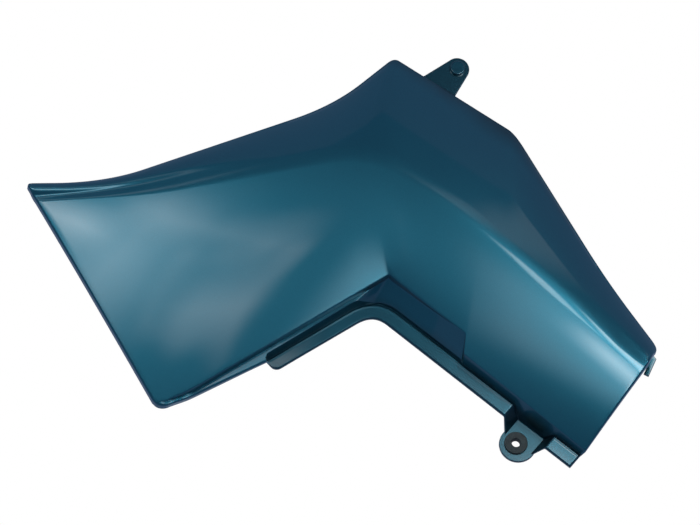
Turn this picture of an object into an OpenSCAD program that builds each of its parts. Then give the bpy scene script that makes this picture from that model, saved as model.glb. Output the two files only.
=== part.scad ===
// Painted side panel of a motorcycle, moulded in one piece, with one rubber grommet.
// Frame: x to the rear, z up, the painted face looks to -y. The origin is the centre
// of the lower screw bore, on the outer face of the ear that holds the grommet.

/* [Outline] */
// Lower screw to the front upper corner, along x
front_reach = 396.5; // [370:1:415]
// Height of the front upper corner above the lower screw
front_height = 199; // [190:1:210]
// Lower screw to the front lower corner, along x
foot_reach = 289; // [275:1:300]
// Height of the front lower corner above the lower screw
foot_height = 7.5; // [0:0.5:14]
// Lower screw to the peak of the top edge, along x
peak_reach = 98.5; // [90:0.5:110]
// Height of the peak of the top edge above the lower screw
peak_height = 326; // [310:0.5:345]
// Height of the shoulder, where the top edge turns down
shoulder_height = 265.5; // [250:1:275]
// Lower screw to the rear corner, along x
rear_reach = 113; // [105:0.5:122]
// Height of the rear corner above the lower screw
rear_height = 77.5; // [72:1:86]
// Height of the inner corner of the elbow above the lower screw
elbow_height = 130; // [126:0.5:138]
// Round of the front lower corner
foot_round = 10; // [6:0.5:12]
// Round of the front upper corner
tip_round = 6; // [3:0.5:8]
// How far the face edge falls from the elbow to the rear end of the recess
recess_fall = 64; // [60:0.5:67]

/* [Depths in front of the ear] */
// Ridge at the bend of the panel
ridge_proud = 40; // [36:0.5:46]
// Top edge at its peak
peak_proud = 12; // [8:0.5:16]
// Lower edge of the painted face at the elbow
edge_proud = 28.5; // [26:0.5:31]
// Depth of the undercut between the painted face and the ledge
undercut = 7; // [4:0.5:9]
// Mounting flange
flange_proud = 10; // [8:0.5:13]

/* [Section] */
// Wall of the moulding
wall = 2.5; // [1.8:0.1:3]
// Outer round of the free edges
edge_round = 1.5; // [0.8:0.1:2]
// Depth of the return lip on the top, front and rear edges
lip_depth = 7; // [5:0.5:10]
// Half width of the rounded ridge
ridge_round = 9; // [5:0.5:14]
// Crown of the painted faces
crown = 2; // [0:0.25:3]
// Width of the mounting flange
flange_width = 10; // [8:0.5:13]
// Width of the ledge beside the groove
ledge_width = 3.2; // [2.5:0.1:4]
// How far the recess of the elbow cuts into the face at its rear end
recess_depth = 17; // [12:0.5:20]

/* [Lower ear] */
// Radius of the end of the lower ear
ear_radius = 15; // [13:0.5:17]
// Thickness of both ear plates
ear_thickness = 3; // [2.8:0.1:4]
// Length of the lower ear from its fold to the end of its side walls
ear_reach = 17; // [14:0.5:19]

/* [Grommet] */
// Bore that the screw and its collar pass through
grommet_bore = 7; // [5:0.5:9]
// Diameter of the front flange
grommet_head = 18.8; // [17:0.2:20]
// Diameter of the neck in the ear
grommet_neck = 13; // [11.5:0.1:14]
// Diameter of the rear flange
grommet_tail = 17; // [15.5:0.5:19]
// Height of the front flange
grommet_head_height = 1.8; // [1.2:0.1:3]
// Height of the rear flange
grommet_tail_height = 1.4; // [1:0.1:3]
// Gap between the neck and its seat, all round
neck_gap = 0.1; // [0.05:0.05:0.3]

/* [Upper ear] */
// Radius of the end of the upper ear
upper_radius = 9.6; // [8.6:0.2:12]
// Diameter of the domed head
head_diameter = 12.4; // [10:0.2:14]
// Height of the domed head
head_height = 3; // [1.5:0.1:4]
// Diameter of the locating peg behind the head
peg_diameter = 8; // [5:0.5:9]
// Length of the locating peg behind the ear
peg_length = 12; // [8:1:18]

/* [Hook] */
// Width of the hook tongue
hook_width = 6; // [4:0.5:8]
// Thickness of the hook tongue
hook_thickness = 3; // [2:0.25:4]
// How far the hook tongue reaches down from its post
hook_reach = 20.5; // [16:0.5:24]
// How far the hook tongue stands behind the rear corner
hook_back = 24; // [20:1:30]

/* [Hidden] */
$fn = 64;
paint = [0.11, 0.33, 0.40];
rubber = [0.14, 0.16, 0.17];

// Stations run from 0 at the front end to 100 at the rear end. A knot of a rail is
// station, half width of its round in stations, x, y and z.
elbow_at = 48;
step_before = 70;
step_after = 70.3;
groove_before = 24.1;
groove_after = 24.5;
ear_from = 83.2;
ear_in = 85.5;
ear_out = 91.9;
ear_to = 93.6;

top_edge = [
    [0, 0, -front_reach, -25, front_height],
    [8, 5, 63.5 - front_reach, -22.5, front_height + 4],
    [37, 5, -148, -15, 281],
    [elbow_at, 1.2, -peak_reach, -peak_proud, peak_height],
    [76, 1.5, -0.5, -8, shoulder_height],
    [91, 3.5, 73.2, -16, 135.8],
    [98.6, 1, rear_reach, -21, rear_height],
    [100, 0, rear_reach - 4, -25, rear_height - 5.3]
];

ridge = [
    [0, 0, 7.9 - front_reach, -27.5, front_height - 14.1],
    [10, 7, 72.5 - front_reach, -31, front_height - 7],
    [elbow_at, 6, -122.5, -ridge_proud, 235.5],
    [66, 6, -48.5, 0.5 - ridge_proud, 189],
    [100, 0, rear_reach - 11, 4.5 - ridge_proud, rear_height - 20]
];

face_edge = [
    [0, 0, -foot_reach - 1.9, 2.5 - edge_proud, foot_height + 3.5],
    [8, 3, -262, 2 - edge_proud, 25.7],
    [elbow_at, 0.4, -104, -edge_proud, elbow_height],
    [step_after, 0, -44, 4 - edge_proud, elbow_height - recess_fall],
    [100, 0, 54, 9.5 - edge_proud, -11.5]
];

foot_edge = [
    [0, 0, -foot_reach, 0, foot_height],
    [groove_before, 0, -201.5, 0, 55]
];

fold = [
    [groove_after, 0, -200, -flange_proud, 58.6],
    [elbow_at, 5.5, -114.5, -flange_proud, 116.5],
    [100, 0, 50, -flange_proud, -13]
];

stations = [
    0, 0.7, 1.2, 1.7, 2.3, 3, 4, 5, 6, 8, 11, 15, 19, 22.2, groove_before, groove_after,
    24.8, 25.2, 25.7, 26.3, 28, 31, 35, 39, 42.5, 43.5, 44.4, 45.2, 46, 46.7, 47.4, elbow_at,
    48.6, 49.4, 50.4, 52, 54, 57, 61, 65.5, step_before, step_after, 71.5, 73.5, 74.5, 75.4, 76.3,
    77.2, 78.4, 80.5, ear_from, ear_in, 88.7, ear_out, ear_to, 95.5, 97.3, 98.1, 98.9,
    99.5, 100
];

// Vector helpers in space and in the x-z plane
back = [0, 1, 0];
function mix(a, b, t) = a + (b - a) * t;
function unit(v) = v / norm(v);
function toward(a, b, d) = a + unit(b - a) * min(d, 0.35 * norm(b - a));
function bend(a, b, c, t) = mix(mix(a, b, t), mix(b, c, t), t);
function ramp(s, from, to) = min(1, max(0, (s - from) / (to - from)));
function plan(p) = [p[0], p[2]];
function flat(v) = [v[0], 0, v[1]];

// A rail is straight between its knots and rounded around each of them
function place(knot) = [knot[2], knot[3], knot[4]];
function straight(rail, s, i = 0) =
    i >= len(rail) - 2 || s <= rail[i + 1][0]
        ? mix(place(rail[i]), place(rail[i + 1]),
              (s - rail[i][0]) / (rail[i + 1][0] - rail[i][0]))
        : straight(rail, s, i + 1);
function along(rail, s) =
    let (near = [for (knot = rail) if (abs(s - knot[0]) < knot[1]) knot])
    len(near) == 0
        ? straight(rail, s)
        : bend(straight(rail, near[0][0] - near[0][1]), place(near[0]),
               straight(rail, near[0][0] + near[0][1]),
               (s - near[0][0] + near[0][1]) / (2 * near[0][1]));

// Normal of a rail in the x-z plane, to the right of its direction
function side(rail, s) =
    let (t = plan(along(rail, s + 0.05) - along(rail, s - 0.05)))
    flat(unit([t[1], -t[0]]));

// Outward direction of the free lower edge
function lower_side(s) = s <= groove_before ? side(foot_edge, s) : side(fold, s);

// Depth of the undercut, width of the flange and joggle of the ear at a station
function undercut_at(s) =
    0.2 + undercut * ramp(s, 2.5, 7) * (1 - ramp(s, 46.3, elbow_at));
flange_growth = 2.3;
growth_from = 30;
function flange_at(s) =
    (flange_width + flange_growth * ramp(s, growth_from, stations[len(stations) - 1]))
        * mix(0.4, 1, sqrt(1 - pow(1 - ramp(s, groove_after, 26), 2)));
function ear_share(s) = ramp(s, ear_from, ear_in) * (1 - ramp(s, ear_out, ear_to));
ear_sink = 0.25;
ear_drop = 4;

// How far the recess at the elbow cuts the face back from its virtual edge
function recess_at(s) = s <= step_before ? recess_depth * ramp(s, elbow_at, step_before) : 0;

// How far the inner skin moves sideways at the walls, as a share of the wall
function miter_share(s) =
    s < elbow_at ? mix(0.9, 0.42, ramp(s, 44, elbow_at))
                 : mix(0.42, 0.68, ramp(s, step_before, step_after));

// Rails of the lower edges at a station, for the outer skin (inner = 0) or the
// inner skin (inner = 1): face edge, undercut, ledge edge, fold and free edge
squeeze = 0.3;
merge = 0.05;
function inset(inner) = inner == 0 ? edge_round : wall;
function foot_rails(s, inner, edge) =
    let (n = side(foot_edge, s), sink = undercut_at(s), skin = back * wall * inner,
         rim = flat(plan(along(foot_edge, s))) + back * (edge[1] + sink) + skin,
         shift = skin - n * wall * inner * miter_share(s))
    [edge + shift,
     edge + n * squeeze + back * sink + shift,
     rim - n * (inset(inner) + 2.4 * squeeze),
     rim - n * (inset(inner) + 1.2 * squeeze),
     rim];
function flange_rails(s, inner, edge) =
    let (n = side(fold, s), share = ear_share(s),
         shift = back * wall * inner - n * wall * inner * miter_share(s),
         turn = along(fold, s) + n * ear_drop * share
              + back * (flange_proud + ear_sink) * share,
         open = ramp(s, 44.4, 47.4),
         sunk = edge + n * squeeze + back * undercut_at(s),
         floor_top = s < elbow_at ? sunk : mix(edge, turn, merge),
         ledge = turn - n * ledge_width + back * (sunk[1] - turn[1]))
    [edge + shift,
     floor_top + shift,
     mix(ledge, mix(turn, floor_top, merge), open) + shift,
     turn + shift,
     turn + n * mix(flange_at(s), ear_reach, share) + back * wall * inner];
function lower_rails(s, inner, edge) =
    s <= groove_before ? foot_rails(s, inner, edge) : flange_rails(s, inner, edge);

// One section of the skin from the top edge to the free lower edge
corner_round = 1.4;
face_strip = 5;
function section(s, inner) =
    let (skin = back * wall * inner,
         top = along(top_edge, s) + skin,
         crest = along(ridge, s) + skin * 1.08,
         brink = along(face_edge, s),
         upper_half = min(ridge_round, 0.25 * norm(top - crest)),
         half = mix(upper_half, ridge_round, ramp(s, 0, 25)),
         above = toward(crest, top, upper_half),
         below = toward(crest, brink + skin, half),
         end = 1 - recess_at(s) / norm(brink - crest),
         low = lower_rails(s, inner, face(below, brink + skin, end) - skin),
         strip = end - face_strip / norm(brink - crest))
    concat(
        [top],
        [for (t = [0.5, 0.8]) face(top, above, t)],
        [above],
        [for (t = [0.25, 0.5, 0.75]) bend(above, crest, below, t)],
        [below],
        [for (t = [0.22, 0.45, 0.68]) face(below, brink + skin, t)],
        [face(below, brink + skin, strip)],
        rounded(face(below, brink + skin, strip), low[0], low[1]),
        [low[1]],
        rounded(low[1], low[2], low[3]),
        rounded(low[2], low[3], low[4] - lower_side(s) * inset(inner)),
        [low[4]]
    );
function face(a, b, t) = mix(a, b, t) - back * crown * 4 * t * (1 - t);
function rounded(a, b, c) =
    let (p = toward(b, a, corner_round), q = toward(b, c, corner_round))
    [p, (p + 2 * b + q) / 4, q];

// A corner of the front end is rounded by moving its square onto a quarter disc
foot_corner = place(foot_edge[0]);
foot_up = unit(plan(place(top_edge[0]) - foot_corner));
foot_along = unit(plan(place(foot_edge[1]) - foot_corner));
tip_corner = place(top_edge[0]);
tip_along = unit(plan(place(top_edge[1]) - tip_corner));
function cross_of(a, b) = a[0] * b[1] - a[1] * b[0];
function pinch(p, corner, first, second, radius) =
    let (d = plan(p - corner),
         a = radius - cross_of(d, second) / cross_of(first, second),
         b = radius - cross_of(first, d) / cross_of(first, second))
    a <= 0 || b <= 0
        ? p
        : let (k = max(a, b) / norm([a, b]),
               q = plan(corner) + (radius - a * k) * first + (radius - b * k) * second)
          [q[0], p[1], q[1]];
function soften(p) =
    pinch(pinch(p, foot_corner, foot_along, foot_up, foot_round),
          tip_corner, tip_along, -foot_up, tip_round);

// Grid of points, stations by rows, and the outward normals around its border
sharp = [for (inner = [0, 1]) [for (s = stations) section(s, inner)]];
columns = len(stations);
rows = len(sharp[0][0]);
face_row = 11;
front_normal = flat(-[foot_up[1], -foot_up[0]]);
rear_line = plan(along(ridge, 100) - along(face_edge, 100));
rear_normal = flat(unit([rear_line[1], -rear_line[0]]));
function mitre(a, b) = (a + b) / max(0.5, 1 + a * b);
function outward(i, j) =
    let (end = i == 0 ? front_normal : i == columns - 1 ? rear_normal : [0, 0, 0],
         flank = j == 0 ? -side(top_edge, stations[i])
               : j == rows - 1 ? lower_side(stations[i]) : [0, 0, 0])
    norm(end) == 0 || norm(flank) == 0 ? end + flank : mitre(end, flank);
function skin_point(i, j, inner) =
    soften(sharp[inner][i][j] - outward(i, j) * inset(inner));

// Border loop: top edge, rear end, lower edge, front end
border = 2 * (columns + rows) - 4;
function border_cell(b) =
    b < columns ? [b, 0]
    : b < columns + rows - 1 ? [columns - 1, b - columns + 1]
    : b < 2 * columns + rows - 2 ? [2 * columns + rows - 3 - b, rows - 1]
    : [0, border - b];
foot_lip = 4;
flange_edge_depth = wall + 0.2;
function lip_at(i, j) =
    i == columns - 1 ? mix(lip_depth, flange_edge_depth, ramp(j, face_row, rows - 4))
    : j < rows - 1 ? lip_depth
    : stations[i] <= groove_before ? mix(lip_depth, foot_lip, ramp(stations[i], 0, 20))
    : flange_edge_depth;
function rim_ring(b) =
    let (c = border_cell(b), i = c[0], j = c[1], base = skin_point(i, j, 0),
         out = soften(sharp[0][i][j]) - base, root = skin_point(i, j, 1),
         deep = back * lip_at(i, j), r = back * edge_round)
    [base + out * sin(45) + r * (1 - cos(45)),
     base + out + r,
     base + out + deep,
     root + deep - back * wall];
rims = [for (b = [0 : border - 1]) rim_ring(b)];

function grid_index(i, j, inner) = (inner * columns + i) * rows + j;
rim_start = 2 * columns * rows;
function ring_index(k, b) =
    let (c = border_cell(b % border))
    k == 0 ? grid_index(c[0], c[1], 0)
    : k == 5 ? grid_index(c[0], c[1], 1)
    : rim_start + (b % border) * 4 + k - 1;

module skin() {
    points = concat(
        [for (inner = [0, 1]) for (i = [0 : columns - 1]) for (j = [0 : rows - 1])
            skin_point(i, j, inner)],
        [for (rim = rims) for (p = rim) p]
    );
    outer_faces = [
        for (i = [0 : columns - 2]) for (j = [0 : rows - 2])
            let (a = grid_index(i, j, 0), b = grid_index(i + 1, j, 0),
                 c = grid_index(i + 1, j + 1, 0), d = grid_index(i, j + 1, 0))
            for (f = [[a, b, c], [a, c, d]]) f
    ];
    inner_faces = [
        for (i = [0 : columns - 2]) for (j = [0 : rows - 2])
            let (a = grid_index(i, j, 1), b = grid_index(i + 1, j, 1),
                 c = grid_index(i + 1, j + 1, 1), d = grid_index(i, j + 1, 1))
            for (f = [[c, b, a], [d, c, a]]) f
    ];
    rim_faces = [
        for (k = [0 : 4]) for (b = [0 : border - 1])
            let (p = ring_index(k, b), q = ring_index(k, b + 1),
                 r = ring_index(k + 1, b + 1), t = ring_index(k + 1, b))
            for (f = [[q, p, t], [q, t, r]]) f
    ];
    polyhedron(points, concat(outer_faces, inner_faces, rim_faces));
}

// A flat plate in the x-z plane, its outer face at y
module plate(y, thickness) {
    translate([0, y + thickness, 0])
        rotate([90, 0, 0])
            linear_extrude(height = thickness)
                children();
}

// Ear outline: a round end with tangents to the two ends of its root
function touch(p, c, r, hand) =
    let (d = p - c, far = norm(d), turn = hand * acos(r / far),
         u = unit(d))
    c + r * [u[0] * cos(turn) - u[1] * sin(turn), u[0] * sin(turn) + u[1] * cos(turn)];
module ear_outline(centre, radius, root_a, root_b) {
    polygon([root_a, root_b, touch(root_b, centre, radius, -1), centre,
             touch(root_a, centre, radius, 1)]);
    translate(centre)
        circle(radius);
}

ear_centre = [1.5, -0.5];
ear_root_front = plan(lower_rails(ear_in, 1, along(face_edge, ear_in))[3]);
ear_root_rear = plan(lower_rails(ear_out, 1, along(face_edge, ear_out))[3]);
module lower_ear() {
    plate(0, ear_thickness)
        ear_outline(ear_centre, ear_radius, ear_root_front, ear_root_rear);
}

// Hole in the lower ear that the neck of the grommet sits in
module grommet_seat() {
    rotate([-90, 0, 0])
        translate([0, 0, -1])
            cylinder(h = ear_thickness + 2, d = grommet_neck + 2 * neck_gap);
}

// The upper ear stands on the lip of the top edge, between two stations
upper_front = 54.5;
upper_rear = 62.1;
upper_out = 23.6;
upper_at = 61.5;
upper_sink = 0.2;
upper_face = along(top_edge, upper_front)[1] + lip_depth - ear_thickness - upper_sink;
upper_root = along(top_edge, upper_at);
upper_centre = plan(upper_root) + upper_out * [0.19, 0.98];
module upper_ear() {
    root_front = plan(along(top_edge, upper_front) + side(top_edge, upper_front) * 1.2);
    root_rear = plan(along(top_edge, upper_rear) + side(top_edge, upper_rear) * 1.2);
    plate(upper_face, ear_thickness)
        ear_outline(upper_centre, upper_radius, root_rear, root_front);
    translate([upper_centre[0], upper_face, upper_centre[1]])
        rotate([90, 0, 0])
            domed_head();
    translate([upper_centre[0], upper_face + 0.5 * ear_thickness, upper_centre[1]])
        rotate([-90, 0, 0])
            cylinder(h = 0.5 * ear_thickness + peg_length, d = peg_diameter);
}

module domed_head() {
    dome = 0.45 * head_height;
    r = head_diameter / 2;
    rotate_extrude()
        polygon(concat(
            [[0, -1], [r, -1], [r, head_height - dome]],
            [for (a = [15 : 15 : 90]) [r - dome + dome * cos(a), head_height - dome + dome * sin(a)]],
            [[0, head_height]]
        ));
}

// The hook tongue hangs from a post on the back of the rear corner
hook_at = 96;
hook_lean = 0.7;
hook_tip = 2;
hook_brow = [3, -5.5];
hook_throat = [4, -6.5];
module hook() {
    post = [rear_reach - 8, rear_height + 7];
    tip = post + [hook_lean, -hook_reach];
    start = along(top_edge, hook_at)[1] + 2.6;
    plate(start, hook_back)
        translate(post)
            circle(d = hook_width);
    plate(start + hook_back - hook_thickness, hook_thickness)
        polygon([post + [-hook_width / 2, 0], post + [hook_width / 2, 2.5],
                 post + [hook_width, 0] + hook_brow, tip + [hook_tip, 0],
                 tip + [-hook_tip, hook_tip], post + hook_throat]);
}

module panel() {
    color(paint)
        difference() {
            union() {
                skin();
                lower_ear();
                upper_ear();
                hook();
            }
            grommet_seat();
        }
}

module lower_grommet() {
    color(rubber)
        rotate([-90, 0, 0])
            rotate_extrude()
                polygon([
                    [grommet_bore / 2, -grommet_head_height],
                    [grommet_head / 2 - 0.6, -grommet_head_height],
                    [grommet_head / 2, 0.6 - grommet_head_height],
                    [grommet_head / 2, 0],
                    [grommet_neck / 2, 0],
                    [grommet_neck / 2, ear_thickness],
                    [grommet_tail / 2, ear_thickness],
                    [grommet_tail / 2, ear_thickness + grommet_tail_height - 0.5],
                    [grommet_tail / 2 - 0.5, ear_thickness + grommet_tail_height],
                    [grommet_bore / 2, ear_thickness + grommet_tail_height]
                ]);
}

panel();
lower_grommet();
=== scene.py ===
"""Looks of a painted motorcycle side panel and of the rubber grommet in its lower ear.

The cover is lofted from the same rails and the same section as the solid, with many more
stations, true rounds and a rolled flange edge, so that its clear coat reflects the studio as
a moulded cover's does. Sizes are in millimetres and become metres when a mesh is made.
"""

import logging
import math
from dataclasses import dataclass, field, replace
from enum import Enum
from typing import Any, Sequence

import bmesh
import bpy
import numpy as np
from mathutils import Matrix, Vector


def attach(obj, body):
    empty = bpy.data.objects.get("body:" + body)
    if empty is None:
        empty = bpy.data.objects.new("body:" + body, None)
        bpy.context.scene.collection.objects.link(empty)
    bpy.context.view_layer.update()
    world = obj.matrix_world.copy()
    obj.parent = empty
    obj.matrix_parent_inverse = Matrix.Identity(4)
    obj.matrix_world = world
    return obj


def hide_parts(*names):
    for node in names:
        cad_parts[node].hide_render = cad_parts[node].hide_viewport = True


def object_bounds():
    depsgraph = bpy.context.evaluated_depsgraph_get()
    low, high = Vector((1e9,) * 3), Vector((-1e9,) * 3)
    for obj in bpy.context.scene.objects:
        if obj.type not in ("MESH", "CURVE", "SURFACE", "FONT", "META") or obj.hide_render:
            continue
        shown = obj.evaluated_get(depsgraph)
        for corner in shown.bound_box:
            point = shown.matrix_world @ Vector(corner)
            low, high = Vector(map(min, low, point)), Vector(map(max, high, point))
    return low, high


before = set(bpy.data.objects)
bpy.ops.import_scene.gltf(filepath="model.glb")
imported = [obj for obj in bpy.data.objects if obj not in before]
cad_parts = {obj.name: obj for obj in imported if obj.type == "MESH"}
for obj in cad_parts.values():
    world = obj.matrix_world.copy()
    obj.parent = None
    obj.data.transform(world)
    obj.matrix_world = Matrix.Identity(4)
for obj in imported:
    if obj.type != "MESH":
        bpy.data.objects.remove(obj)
cad_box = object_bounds()

LOG = logging.getLogger("side_panel")
MM = 0.001
BACK = np.array([0.0, 1.0, 0.0])
PROBE = 0.05

Point = np.ndarray


def mix(start: Point, stop: Point, share: float) -> Point:
    """Point at a share of the way from start to stop."""
    return start + (stop - start) * share


def unit(vector: Point) -> Point:
    """The vector at length one."""
    return vector / np.linalg.norm(vector)


def flat(x: float, z: float) -> Point:
    """A vector in the plane of the flange."""
    return np.array([x, 0.0, z])


def ramp(station: float, start: float, stop: float, ease: float = 0.0) -> float:
    """Rise from 0 at start to 1 at stop, with its two corners rounded.

    Args:
        station: Where the rise is read.
        start: Station at which the rise begins.
        stop: Station at which it ends.
        ease: Half width of the round at each end, in stations.

    Returns:
        The share, from 0 to 1.
    """
    if ease <= 0:
        return min(1.0, max(0.0, (station - start) / (stop - start)))

    def rise(run: float) -> float:
        if run <= -ease:
            return 0.0
        return run if run >= ease else (run + ease) ** 2 / (4 * ease)

    return (rise(station - start) - rise(station - stop)) / (stop - start)


def quadratic(start: Point, corner: Point, stop: Point, share: float) -> Point:
    """Point on a round that leaves start toward corner and arrives at stop."""
    return mix(mix(start, corner, share), mix(corner, stop, share), share)


def cubic(start: Point, leave: Point, arrive: Point, stop: Point, share: float) -> Point:
    """Point on a curve from start to stop with its two handles."""
    first = quadratic(start, leave, arrive, share)
    return mix(first, quadratic(leave, arrive, stop, share), share)


def toward(start: Point, stop: Point, distance: float) -> Point:
    """Point at a distance from start, and never past about a third of the way."""
    gap = np.linalg.norm(stop - start)
    return start + (stop - start) * min(distance / gap, 0.35) if gap > 0 else start


def fillet(before: Point, corner: Point, after: Point, radius: float, count: int) -> list[Point]:
    """Points of the round that takes a corner's place.

    Args:
        before: Point ahead of the corner.
        corner: The corner itself.
        after: Point past the corner.
        radius: Distance from the corner at which the round begins and ends.
        count: How many points the round has.

    Returns:
        The points in order, both ends included.
    """
    start, stop = toward(corner, before, radius), toward(corner, after, radius)
    return [quadratic(start, corner, stop, i / (count - 1)) for i in range(count)]


@dataclass(frozen=True)
class Knot:
    """A corner of a rail, with the half width of its round in stations."""

    station: float
    half: float
    x: float
    y: float
    z: float

    @property
    def point(self) -> Point:
        """Where the corner lies."""
        return np.array([self.x, self.y, self.z])


class Rail:
    """A line that is straight between its knots and rounded around each of them."""

    def __init__(self, *knots: Knot) -> None:
        """Keeps the knots in the order of their stations."""
        self.knots = knots

    def straight(self, station: float) -> Point:
        """Point on the straight runs, without the rounds."""
        for low, high in zip(self.knots, self.knots[1:]):
            if station <= high.station:
                break
        share = (station - low.station) / (high.station - low.station)
        return mix(low.point, high.point, share)

    def at(self, station: float) -> Point:
        """Point of the rail at a station."""
        for knot in self.knots:
            if abs(station - knot.station) < knot.half:
                start = self.straight(knot.station - knot.half)
                stop = self.straight(knot.station + knot.half)
                share = (station - knot.station + knot.half) / (2 * knot.half)
                return quadratic(start, knot.point, stop, share)
        return self.straight(station)

    def side(self, station: float) -> Point:
        """Direction to the right of the rail, in the plane of the flange."""
        run = self.at(station + PROBE) - self.at(station - PROBE)
        return unit(flat(run[2], -run[0]))


class Slot(Enum):
    """The record's material slots."""

    PAINT = "teal_paint"
    RUBBER = "black_rubber"


class Signal:
    """A value on its way through a node tree, with arithmetic that adds Math nodes."""

    def __init__(self, graph: "Graph", socket: bpy.types.NodeSocket) -> None:
        """Wraps one output socket of the graph."""
        self.graph = graph
        self.socket = socket

    def maths(self, operation: str, *values: Any) -> "Signal":
        """Adds a Math node.

        Args:
            operation: Blender's name of the operation.
            values: Numbers or signals, in the order of the node's sockets.

        Returns:
            The node's result.
        """
        made = self.graph.node(
            "ShaderNodeMath", {"operation": operation}, dict(enumerate(values))
        )
        return Signal(self.graph, made.outputs[0])

    def __add__(self, other: Any) -> "Signal":
        """self + other."""
        return self.maths("ADD", self, other)

    def __radd__(self, other: Any) -> "Signal":
        """other + self."""
        return self.maths("ADD", other, self)

    def __sub__(self, other: Any) -> "Signal":
        """self - other."""
        return self.maths("SUBTRACT", self, other)

    def __rsub__(self, other: Any) -> "Signal":
        """other - self."""
        return self.maths("SUBTRACT", other, self)

    def __mul__(self, other: Any) -> "Signal":
        """self * other."""
        return self.maths("MULTIPLY", self, other)

    def __rmul__(self, other: Any) -> "Signal":
        """other * self."""
        return self.maths("MULTIPLY", other, self)

    def size(self) -> "Signal":
        """The value without its sign."""
        return self.maths("ABSOLUTE", self)

    def smooth(self, start: float, stop: float) -> "Signal":
        """Rises smoothly from 0 at start to 1 at stop."""
        made = self.graph.node(
            "ShaderNodeMapRange",
            {"interpolation_type": "SMOOTHSTEP"},
            {"Value": self, "From Min": start, "From Max": stop},
        )
        return Signal(self.graph, made.outputs["Result"])


class Graph:
    """A node tree that is filled by one method."""

    def __init__(self, tree: bpy.types.NodeTree) -> None:
        """Empties the tree."""
        self.tree = tree
        tree.nodes.clear()

    def node(
        self,
        kind: str,
        settings: dict[str, Any] | None = None,
        sockets: dict[Any, Any] | None = None,
    ) -> bpy.types.Node:
        """Adds a node.

        Args:
            kind: Blender's type name of the node.
            settings: Properties that are set before the sockets. "stops" holds a
                ramp's positions and greys.
            sockets: Values, signals or sockets, by the name or index of the input.

        Returns:
            The new node.
        """
        made = self.tree.nodes.new(kind)
        for name, value in (settings or {}).items():
            if name == "stops":
                self.set_stops(made.color_ramp, value)
            else:
                setattr(made, name, value)
        for name, value in (sockets or {}).items():
            if isinstance(value, Signal):
                self.tree.links.new(value.socket, made.inputs[name])
            elif isinstance(value, bpy.types.NodeSocket):
                self.tree.links.new(value, made.inputs[name])
            else:
                made.inputs[name].default_value = value
        return made

    @staticmethod
    def set_stops(ramp_data: bpy.types.ColorRamp, stops: Sequence[tuple[float, float]]) -> None:
        """Sets the stops of a colour ramp to greys at their positions."""
        while len(ramp_data.elements) < len(stops):
            ramp_data.elements.new(1.0)
        for element, (position, grey) in zip(ramp_data.elements, stops):
            element.position = position
            element.color = (grey, grey, grey, 1.0)

    def signal(self, kind: str, settings: dict[str, Any], sockets: dict[Any, Any],
               output: Any = 0) -> Signal:
        """Adds a node and returns one of its outputs as a signal."""
        return Signal(self, self.node(kind, settings, sockets).outputs[output])

    def blend(self, share: Any, first: Any, second: Any) -> Signal:
        """Mixes two colours by a share from 0 to 1."""
        made = self.node(
            "ShaderNodeMix", {"data_type": "RGBA"}, {0: share, 6: first, 7: second}
        )
        return Signal(self, made.outputs[2])


def linear(red: int, green: int, blue: int) -> tuple[float, float, float, float]:
    """Turns a screen colour of 0 to 255 into Blender's linear colour."""

    def channel(value: int) -> float:
        share = value / 255
        return share / 12.92 if share <= 0.04045 else ((share + 0.055) / 1.055) ** 2.4

    return channel(red), channel(green), channel(blue), 1.0


@dataclass(frozen=True)
class MetallicPaint:
    """Teal metallic paint under a clear coat, over dark plastic that is bare behind. The set-back
    flange and ears blend toward a darker teal: thinner paint there, and painted shade that dims their
    reflections.
    """

    tint: tuple[float, float, float, float] = (0.020, 0.1536, 0.2156, 1.0)
    flop: tuple[float, float, float, float] = (0.017, 0.135, 0.190, 1.0)
    # Darker teal for the set-back flange and ears: painted shade that dims their reflections, also
    # standing for thinner paint there.
    thin: tuple[float, float, float, float] = (0.014, 0.060, 0.080, 1.0)
    bare: tuple[float, float, float, float] = linear(33, 36, 38)
    roughness: float = 0.30
    bare_roughness: float = 0.52
    coat_roughness: float = 0.03
    flake_scale: float = 2600.0
    peel_scale: float = 260.0

    def material(self) -> bpy.types.Material:
        """Builds the shader of the cover."""
        made = bpy.data.materials.new("metallic_paint")
        made.use_nodes = True
        graph = Graph(made.node_tree)
        place = graph.node("ShaderNodeTexCoord").outputs["Object"]
        flakes = graph.signal(
            "ShaderNodeTexNoise", {}, {"Vector": place, "Scale": self.flake_scale, "Detail": 1.0}
        )
        peel = graph.signal(
            "ShaderNodeTexNoise", {}, {"Vector": place, "Scale": self.peel_scale, "Detail": 1.0}
        )
        mist = graph.signal(
            "ShaderNodeTexNoise", {}, {"Vector": place, "Scale": 30.0, "Detail": 4.0}
        )
        normal = graph.node("ShaderNodeNewGeometry").outputs["Normal"]
        turned = graph.signal("ShaderNodeSeparateXYZ", {}, {0: normal}, "Y")
        bare = (turned + (mist - 0.5) * 0.35).smooth(0.22, 0.62)
        # Painted shade: the further back along y a surface lies, from 17 mm to 7 mm in front of the
        # lower ear, the more it takes the darker teal, up to 85 percent.
        depth = graph.signal("ShaderNodeSeparateXYZ", {}, {0: place}, "Y")
        set_back_shade = (depth + (mist - 0.5) * 0.006).smooth(-0.017, -0.007) * 0.85
        paint = graph.blend(flakes.smooth(0.35, 0.65), self.flop, self.tint)
        paint = graph.blend(set_back_shade, paint, self.thin)
        bump = graph.node(
            "ShaderNodeBump", {}, {"Strength": 0.045, "Distance": 0.0004, "Height": peel}
        )
        shader = graph.node(
            "ShaderNodeBsdfPrincipled",
            {},
            {
                "Base Color": graph.blend(bare, paint, self.bare),
                "Metallic": 0.92 - bare * 0.92,
                "Roughness": self.roughness + bare * (self.bare_roughness - self.roughness),
                "Coat Weight": 1.0 - bare * 0.95,
                "Coat Roughness": self.coat_roughness,
                "Normal": bump.outputs[0],
            },
        )
        graph.node("ShaderNodeOutputMaterial", {}, {"Surface": shader.outputs[0]})
        return made


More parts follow.
